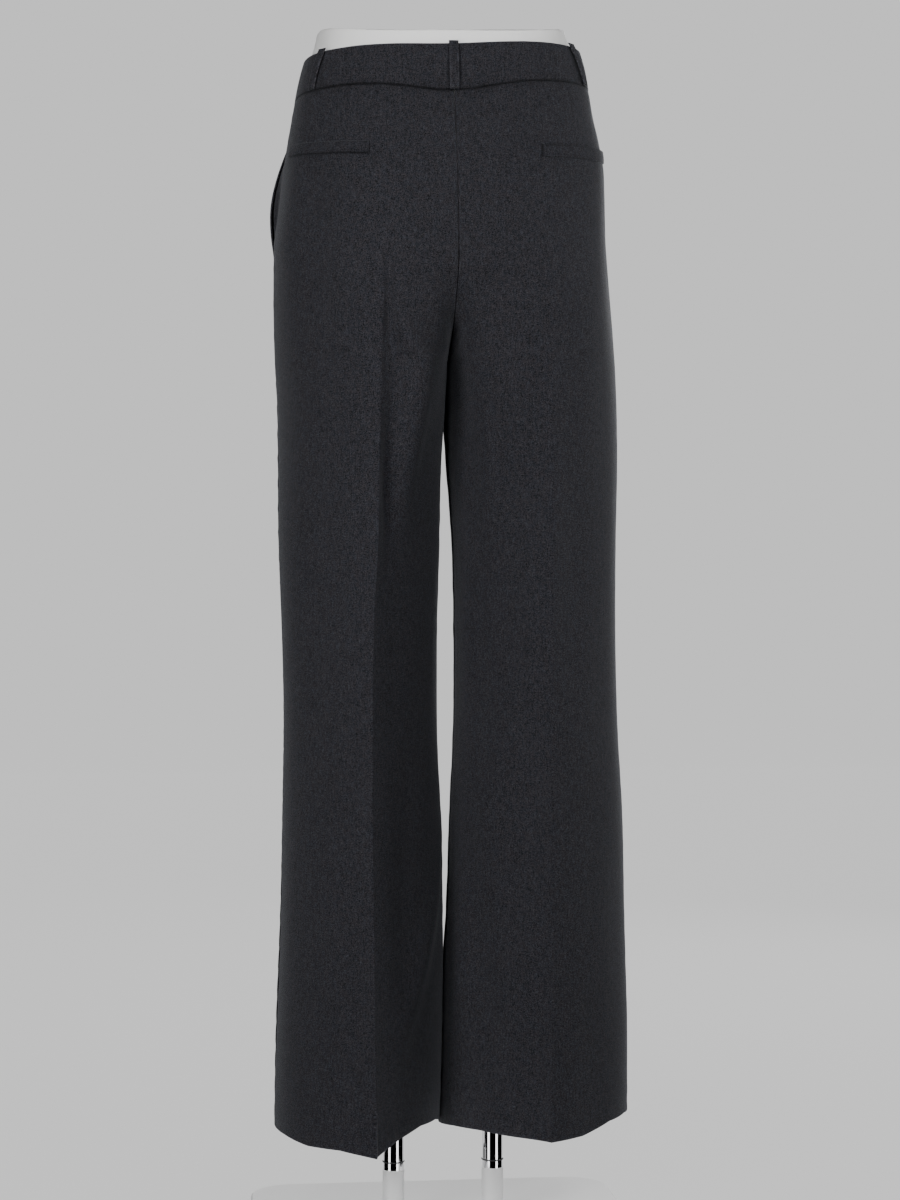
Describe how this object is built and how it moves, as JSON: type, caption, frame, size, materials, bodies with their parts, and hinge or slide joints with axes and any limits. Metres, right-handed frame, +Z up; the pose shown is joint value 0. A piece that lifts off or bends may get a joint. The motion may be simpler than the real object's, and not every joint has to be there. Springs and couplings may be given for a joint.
{
  "type": "pleated dress trousers on a hip form stand",
  "caption": "Wide-leg pleated dress trousers in charcoal wool, hollow and hanging straight, on a smooth white hip form that stands on chrome poles and a flat base plate.",
  "frame": {"origin": "centre of the base plate's underside, on the surface that it stands on", "axes": "+Z up, the back of the garment faces +Y, the wearer's left is +X"},
  "size_m": [0.36, 0.3, 1.146],
  "materials": {
    "suiting_wool": "matt melange wool suiting",
    "horn_button": "dark polished horn look",
    "form_white": "smooth satin white",
    "pole_chrome": "polished chrome",
    "base_steel": "pale grey powder coat"
  },
  "bodies": {
    "root": {"back_left": "suiting_wool", "back_right": "suiting_wool", "front_left": "suiting_wool", "front_right": "suiting_wool", "pocket_facing_left": "suiting_wool", "pocket_facing_right": "suiting_wool", "welt_back_left": "suiting_wool", "welt_back_right": "suiting_wool", "waistband_left": "suiting_wool", "waistband_right": "suiting_wool", "belt_loop_back": "suiting_wool", "belt_loop_side_left": "suiting_wool", "belt_loop_side_right": "suiting_wool", "belt_loop_front_left": "suiting_wool", "belt_loop_front_right": "suiting_wool", "fly_shield": "suiting_wool", "waist_button": "horn_button", "hip_form": "form_white", "pole_left": "pole_chrome", "pole_right": "pole_chrome", "pole_socket_left": "base_steel", "pole_socket_right": "base_steel", "base_plate": "base_steel"}
  },
  "joints": []
}
